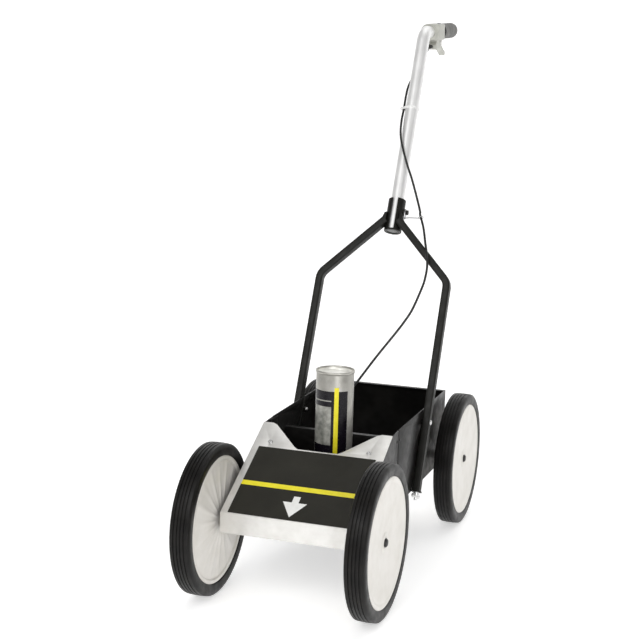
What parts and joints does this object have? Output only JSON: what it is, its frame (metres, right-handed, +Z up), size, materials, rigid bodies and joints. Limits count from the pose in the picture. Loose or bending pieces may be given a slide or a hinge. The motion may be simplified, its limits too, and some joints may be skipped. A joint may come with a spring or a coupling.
{
  "type": "line striping machine",
  "caption": "Walk-behind line marker with spoked-back plastic wheels, folded steel can tray, inverted aerosol can in a spray bay, leaning yoke and push handle with cable trigger.",
  "frame": {"origin": "on the ground, under the middle of the whole machine's box", "axes": "+X to the right of someone standing in front, +Y to the rear (towards the grip), +Z up"},
  "size_m": [0.326, 1.0516, 0.9833],
  "materials": {
    "tyre_rubber": "black rubber, ribbed tread",
    "wheel_plastic": "off-white moulded plastic",
    "bush_nylon": "natural nylon",
    "zinc_steel": "bright zinc plate",
    "cap_black": "black push cap",
    "black_sheet": "satin black powder coat",
    "black_tube": "satin black powder coat",
    "bright_aluminium": "brushed mill finish",
    "decal_print": "printed film, dark ground with a plain yellow band and a white arrow",
    "black_rubber": "matte",
    "polished_aluminium": "drawn tube, bright",
    "grip_rubber": "ribbed grip, dark grey",
    "trigger_plastic": "warm grey moulded plastic",
    "cable_jacket": "black cable housing",
    "tie_nylon": "white nylon tie",
    "can_tinplate": "bright tinplate",
    "can_print": "printed can wall, dark with a plain yellow stripe",
    "brass": "turned adjuster",
    "spring_steel": "spring wire",
    "tip_plastic": "white nozzle"
  },
  "bodies": {
    "chassis": {"front_axle": "zinc_steel", "rear_axle": "zinc_steel", "axle_spacers": "zinc_steel", "axle_caps": "cap_black", "tray_shell": "black_sheet", "rear_axle_beam": "black_sheet", "hood_side_left": "black_sheet", "hood_side_right": "black_sheet", "front_panel": "bright_aluminium", "panel_decal": "decal_print", "panel_screws": "zinc_steel", "tray_rivets": "black_sheet", "divider_plate": "black_sheet", "can_cradle": "black_sheet", "cradle_grommet": "black_rubber", "actuator_bracket": "zinc_steel", "actuator_pin": "zinc_steel", "actuator_spring": "spring_steel", "cable_anchor": "zinc_steel", "cable_adjuster": "brass", "yoke_arm_left": "black_tube", "yoke_arm_right": "black_tube", "yoke_collar": "black_tube", "yoke_lugs": "black_tube", "arm_backing_strips": "black_tube", "arm_bolts": "zinc_steel", "arm_studs": "zinc_steel", "arm_wing_nuts": "zinc_steel", "cable_guide": "spring_steel", "cable_lower": "cable_jacket"},
    "front_left_wheel": {"tyre_front_left": "tyre_rubber", "wheel_front_left": "wheel_plastic", "bush_front_left": "bush_nylon"},
    "front_right_wheel": {"tyre_front_right": "tyre_rubber", "wheel_front_right": "wheel_plastic", "bush_front_right": "bush_nylon"},
    "rear_left_wheel": {"tyre_rear_left": "tyre_rubber", "wheel_rear_left": "wheel_plastic", "bush_rear_left": "bush_nylon"},
    "rear_right_wheel": {"tyre_rear_right": "tyre_rubber", "wheel_rear_right": "wheel_plastic", "bush_rear_right": "bush_nylon"},
    "handle": {"handle_tube": "polished_aluminium", "hand_grip": "grip_rubber", "trigger_housing": "trigger_plastic", "trigger_pin": "zinc_steel", "trigger_spring": "spring_steel", "housing_screw": "zinc_steel", "cable_ferrule": "cable_jacket", "cable_upper": "cable_jacket", "cable_tie": "tie_nylon"},
    "trigger": {"trigger_lever": "trigger_plastic"},
    "actuator": {"actuator_lever": "zinc_steel", "inner_wire": "zinc_steel"},
    "can": {"can_body": "can_print", "can_base_ring": "can_tinplate", "can_shoulder": "can_tinplate", "valve_cup": "can_tinplate"},
    "spray_tip_body": {"spray_tip": "tip_plastic"},
    "clamp_screw": {"collar_clamp_screw": "black_tube"}
  },
  "joints": [
    {"name": "front_left_wheel_spin", "type": "hinge", "parent": "chassis", "child": "front_left_wheel", "pos_m": [-0.145, -0.399, 0.127], "axis": [1, 0, 0], "continuous": true},
    {"name": "front_right_wheel_spin", "type": "hinge", "parent": "chassis", "child": "front_right_wheel", "pos_m": [0.145, -0.399, 0.127], "axis": [1, 0, 0], "continuous": true},
    {"name": "rear_left_wheel_spin", "type": "hinge", "parent": "chassis", "child": "rear_left_wheel", "pos_m": [-0.145, 0.141, 0.127], "axis": [1, 0, 0], "continuous": true},
    {"name": "rear_right_wheel_spin", "type": "hinge", "parent": "chassis", "child": "rear_right_wheel", "pos_m": [0.145, 0.141, 0.127], "axis": [1, 0, 0], "continuous": true},
    {"name": "handle_height_slide", "type": "slide", "parent": "chassis", "child": "handle", "axis": [0, 0.4226, 0.9063], "range_m": [0, 0.04], "deforming": ["cable_upper"]},
    {"name": "trigger_pull", "type": "hinge", "parent": "handle", "child": "trigger", "pos_m": [0, 0.4043, 0.93689], "axis": [1, 0, 0], "range_deg": [0, 20], "stiffness_Nm_per_rad": 0.4, "springref_deg": -20.05, "deforming": ["trigger_spring"]},
    {"name": "actuator_lift", "type": "hinge", "parent": "chassis", "child": "actuator", "pos_m": [0, -0.139, 0.112], "axis": [-1, 0, 0], "range_deg": [0, 2.3], "deforming": ["actuator_spring", "inner_wire"]},
    {"name": "can_lift_out", "type": "slide", "parent": "chassis", "child": "can", "axis": [0, 0, 1], "range_m": [0, 0.16]},
    {"name": "spray_tip_press", "type": "slide", "parent": "can", "child": "spray_tip_body", "axis": [0, 0, 1], "range_m": [0, 0.0025]},
    {"name": "clamp_screw_turn", "type": "hinge", "parent": "chassis", "child": "clamp_screw", "pos_m": [0, 0.14221, 0.60281], "axis": [1, 0, 0], "range_deg": [0, 180]}
  ],
  "couplings": [
    {"joint": "actuator_lift", "follows": "trigger_pull", "ratio": 0.115},
    {"joint": "spray_tip_press", "follows": "trigger_pull", "m_per_rad": 0.00713}
  ]
}
